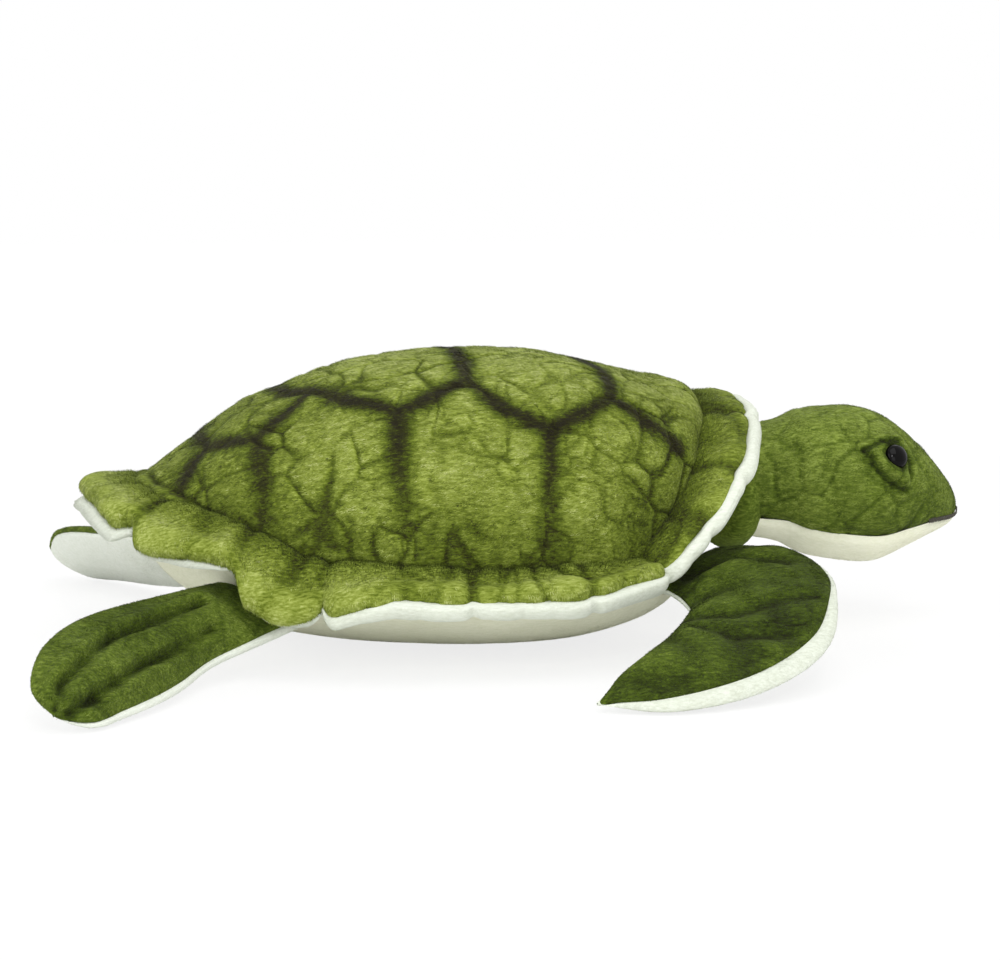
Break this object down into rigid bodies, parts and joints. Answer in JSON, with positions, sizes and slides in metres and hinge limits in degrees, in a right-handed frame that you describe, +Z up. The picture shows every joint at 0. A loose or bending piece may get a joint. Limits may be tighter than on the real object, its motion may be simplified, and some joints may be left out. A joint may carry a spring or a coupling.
{
  "type": "plush turtle",
  "caption": "Stuffed plush sea turtle with a domed shell, rolled collar and rim, movable head and flippers.",
  "frame": {"origin": "on the surface that the turtle rests on, under the middle of its bounding box", "axes": "+X towards the nose, +Z up from the belly to the top of the shell, +Y towards the turtle's left"},
  "size_m": [0.4906, 0.4188, 0.1523],
  "materials": {
    "shell_plush": "matte",
    "flipper_plush": "matte",
    "white_plush": "matte",
    "cream_cloth": "matte",
    "fibre_filling": "matte",
    "eye_gloss": "gloss",
    "washer_plastic": "matte",
    "brown_thread": "matte"
  },
  "bodies": {
    "root": {"shell_cover": "shell_plush", "belly_cover": "cream_cloth", "body_stuffing": "fibre_filling", "collar_cover": "shell_plush", "collar_lining": "white_plush", "side_rim_cover_left": "shell_plush", "side_rim_lining_left": "white_plush", "rear_rim_cover_left": "shell_plush", "rear_rim_lining_left": "white_plush", "side_rim_cover_right": "shell_plush", "side_rim_lining_right": "white_plush", "rear_rim_cover_right": "shell_plush", "rear_rim_lining_right": "white_plush"},
    "neck": {"neck_stuffing": "fibre_filling"},
    "head": {"head_cover": "flipper_plush", "throat_cover": "cream_cloth", "head_stuffing": "fibre_filling", "eye_left": "eye_gloss", "eye_right": "eye_gloss", "eye_washer_left": "washer_plastic", "eye_washer_right": "washer_plastic", "mouth_embroidery": "brown_thread"},
    "front_flipper_left": {"front_flipper_left_upper_cover": "flipper_plush", "front_flipper_left_lower_cover": "white_plush", "front_flipper_left_stuffing": "fibre_filling"},
    "front_flipper_right": {"front_flipper_right_upper_cover": "flipper_plush", "front_flipper_right_lower_cover": "white_plush", "front_flipper_right_stuffing": "fibre_filling"},
    "rear_flipper_left": {"rear_flipper_left_upper_cover": "flipper_plush", "rear_flipper_left_lower_cover": "white_plush", "rear_flipper_left_stuffing": "fibre_filling"},
    "rear_flipper_right": {"rear_flipper_right_upper_cover": "flipper_plush", "rear_flipper_right_lower_cover": "white_plush", "rear_flipper_right_stuffing": "fibre_filling"}
  },
  "joints": [
    {"name": "head_turn", "type": "hinge", "parent": "root", "child": "neck", "pos_m": [0.12579, 0, 0.078], "axis": [0, 0, 1], "range_deg": [-15, 15], "stiffness_Nm_per_rad": 1.2},
    {"name": "head_nod", "type": "hinge", "parent": "neck", "child": "head", "pos_m": [0.12579, 0, 0.078], "axis": [0, 1, 0], "range_deg": [-12, 12], "stiffness_Nm_per_rad": 1.2},
    {"name": "front_flipper_left_flap", "type": "hinge", "parent": "root", "child": "front_flipper_left", "pos_m": [0.07635, 0.08421, 0.041], "axis": [0.6746, -0.7175, 0.1736], "range_deg": [-10, 20], "stiffness_Nm_per_rad": 0.5},
    {"name": "front_flipper_right_flap", "type": "hinge", "parent": "root", "child": "front_flipper_right", "pos_m": [0.07635, -0.08421, 0.041], "axis": [-0.6746, -0.7175, -0.1736], "range_deg": [-10, 20], "stiffness_Nm_per_rad": 0.5},
    {"name": "rear_flipper_left_flap", "type": "hinge", "parent": "root", "child": "rear_flipper_left", "pos_m": [-0.14191, 0.08171, 0.03], "axis": [0.7855, 0.4521, -0.4226], "range_deg": [-10, 15], "stiffness_Nm_per_rad": 0.5},
    {"name": "rear_flipper_right_flap", "type": "hinge", "parent": "root", "child": "rear_flipper_right", "pos_m": [-0.14191, -0.08171, 0.03], "axis": [-0.7855, 0.4521, 0.4226], "range_deg": [-10, 15], "stiffness_Nm_per_rad": 0.5}
  ]
}
